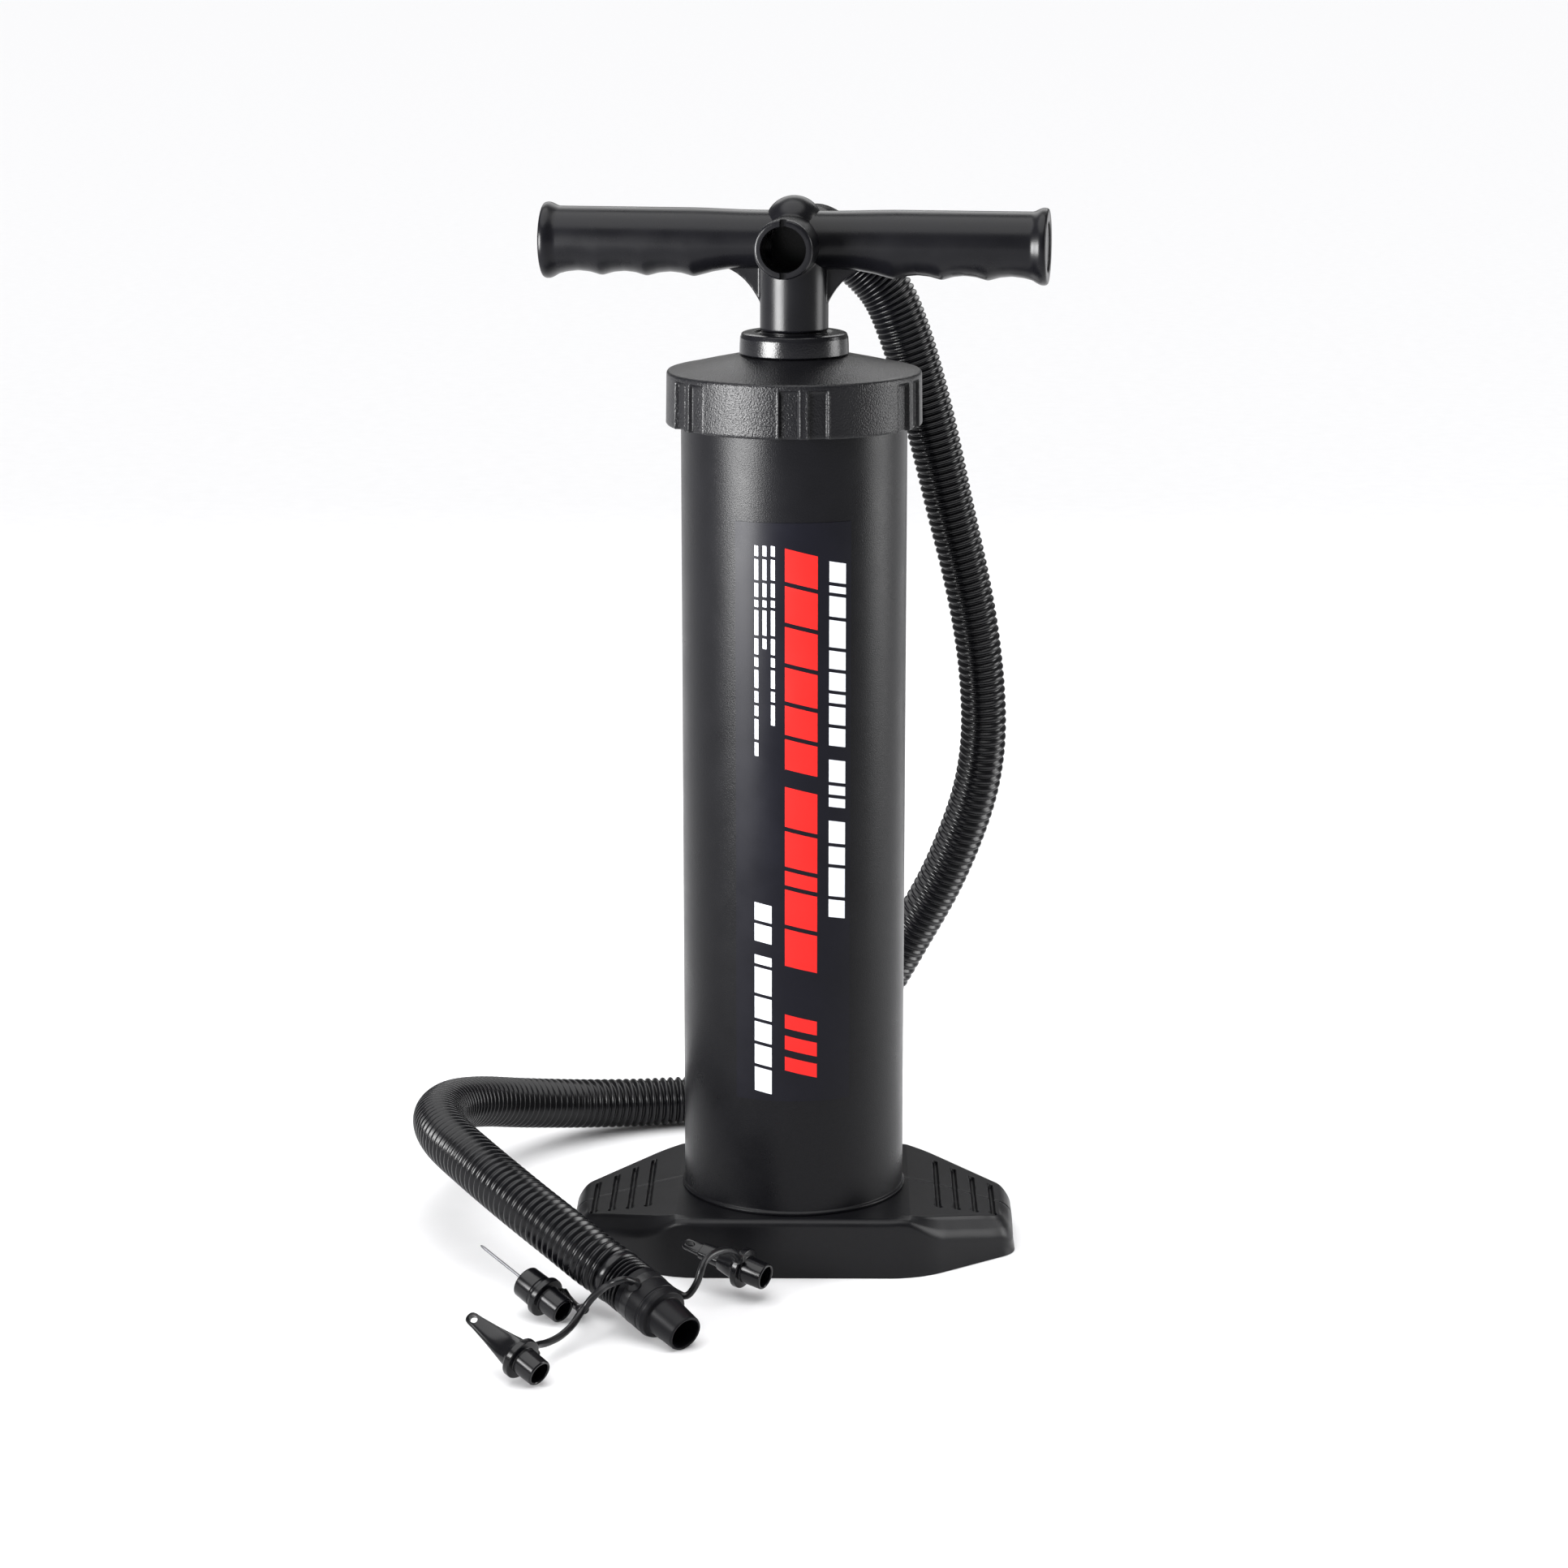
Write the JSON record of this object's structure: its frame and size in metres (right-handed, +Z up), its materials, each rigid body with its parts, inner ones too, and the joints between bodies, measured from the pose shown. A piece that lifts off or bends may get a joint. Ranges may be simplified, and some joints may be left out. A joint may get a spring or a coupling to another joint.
{
  "type": "double action hand pump",
  "caption": "Standing double action hand pump with a T handle, screw cap, winged foot, corrugated bayonet hose and tethered inflation adaptors.",
  "frame": {"origin": "bottom centre of the foot, on the floor, on the barrel's axis", "axes": "+Z up along the barrel, X along the foot's long side, the barrel's label faces -Y"},
  "size_m": [0.2913, 0.3765, 0.48],
  "materials": {
    "foot_plastic": "moulded grain",
    "barrel_plastic": "satin with a fine grain",
    "label_film": "printed film, satin",
    "cap_plastic": "coarse sparkling grain",
    "collar_plastic": "glossy",
    "natural_plastic": "natural white",
    "rod_plastic": "smooth",
    "handle_plastic": "satin",
    "hose_plastic": "glossy corrugated",
    "cuff_plastic": "satin",
    "strap_plastic": "smooth soft plastic",
    "adaptor_plastic": "glossy",
    "seal_rubber": "greased",
    "valve_rubber": "soft",
    "steel": "zinc plated",
    "needle_metal": "polished"
  },
  "bodies": {
    "pump_body": {"foot": "foot_plastic", "foot_screw_1": "steel", "foot_screw_2": "steel", "foot_screw_3": "steel", "foot_screw_4": "steel", "barrel": "barrel_plastic", "barrel_label": "label_film", "cap_gasket": "seal_rubber", "screw_cap": "cap_plastic", "rod_guide": "natural_plastic", "gland_collar": "collar_plastic", "rod_seal": "seal_rubber", "hose_hanging": "hose_plastic", "hose_floor": "hose_plastic", "nozzle_cuff": "cuff_plastic", "strap_band": "strap_plastic", "strap_to_blade": "strap_plastic", "strap_to_needle": "strap_plastic", "strap_to_step": "strap_plastic", "needle_adaptor": "adaptor_plastic", "needle": "needle_metal", "blade_adaptor": "adaptor_plastic", "stepped_adaptor": "adaptor_plastic"},
    "handle_and_piston": {"handle": "handle_plastic", "grip_plug_right": "handle_plastic", "grip_plug_left": "handle_plastic", "rod": "rod_plastic", "piston_upper": "natural_plastic", "piston_lower": "natural_plastic", "piston_seal_upper": "seal_rubber", "piston_seal_lower": "seal_rubber", "piston_screw_1": "steel", "piston_screw_2": "steel", "piston_screw_3": "steel", "piston_screw_4": "steel"},
    "connector": {"hose_connector": "handle_plastic", "connector_seal": "seal_rubber"},
    "upper_intake": {"intake_valve_upper": "valve_rubber"},
    "lower_intake": {"intake_valve_lower": "valve_rubber"},
    "upper_outlet": {"outlet_valve_upper": "valve_rubber"},
    "lower_outlet": {"outlet_valve_lower": "valve_rubber"}
  },
  "joints": [
    {"name": "handle_slide", "type": "slide", "parent": "pump_body", "child": "handle_and_piston", "axis": [0, 0, 1], "range_m": [0, 0.235], "deforming": ["hose_hanging"]},
    {"name": "bayonet_turn", "type": "hinge", "parent": "handle_and_piston", "child": "connector", "pos_m": [0, 0, 0.459], "axis": [-0.1409, -0.99, 0], "range_deg": [0, 40]},
    {"name": "upper_intake_lift", "type": "slide", "parent": "handle_and_piston", "child": "upper_intake", "axis": [0, 0, 1], "range_m": [0, 0.0025], "stiffness_N_per_m": 40},
    {"name": "lower_intake_lift", "type": "slide", "parent": "handle_and_piston", "child": "lower_intake", "axis": [0, 0, -1], "range_m": [0, 0.0025], "stiffness_N_per_m": 40, "springref_m": -0.0005},
    {"name": "upper_outlet_lift", "type": "slide", "parent": "handle_and_piston", "child": "upper_outlet", "axis": [0, 0, -1], "range_m": [0, 0.0025], "stiffness_N_per_m": 40, "springref_m": -0.0005},
    {"name": "lower_outlet_lift", "type": "slide", "parent": "handle_and_piston", "child": "lower_outlet", "axis": [0, 0, 1], "range_m": [0, 0.0025], "stiffness_N_per_m": 40}
  ]
}
